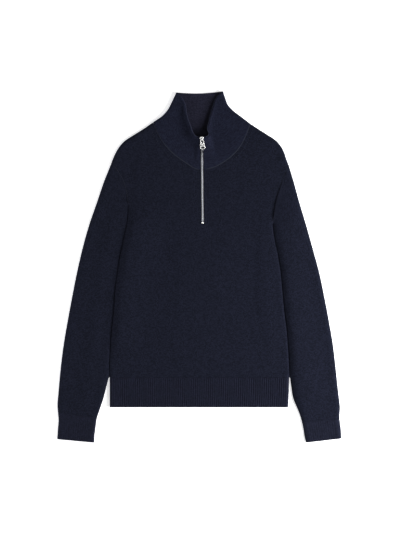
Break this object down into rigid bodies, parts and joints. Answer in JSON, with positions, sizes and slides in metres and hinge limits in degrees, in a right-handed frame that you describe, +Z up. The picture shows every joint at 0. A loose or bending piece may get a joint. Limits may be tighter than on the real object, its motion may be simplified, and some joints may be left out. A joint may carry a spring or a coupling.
{
  "type": "quarter zip sweater",
  "caption": "Fine-knit sweater with stand collar, closed quarter zip, ribbed hem and cuffs, laid flat on its back with the sleeves beside the body.",
  "frame": {"origin": "on the surface that the sweater lies on, under the middle of its outline", "axes": "+X toward the wearer's left sleeve, +Y from the hem to the collar, +Z up off the surface, out of the front"},
  "size_m": [0.6811, 0.8409, 0.0316],
  "materials": {
    "knit": "dark navy fine wool knit, matt with a soft nap",
    "zip_tape": "dark navy woven tape",
    "zip_metal": "polished nickel plating"
  },
  "bodies": {
    "sweater": {"front": "knit", "back": "knit", "hem_front": "knit", "hem_back": "knit", "right_sleeve": "knit", "left_sleeve": "knit", "right_cuff": "knit", "left_cuff": "knit", "collar": "knit", "zip_tape_right": "zip_tape", "zip_tape_left": "zip_tape", "zip_chain": "zip_metal", "zip_bottom_stop": "zip_metal", "zip_slider": "zip_metal"},
    "pull_tab": {"zip_pull_tab": "zip_metal"}
  },
  "joints": [
    {"name": "pull_tab_hinge", "type": "hinge", "parent": "sweater", "child": "pull_tab", "pos_m": [0.00604, 0.30632, 0.02868], "axis": [-0.9954, -0.0836, -0.0469], "range_deg": [0, 165]}
  ]
}
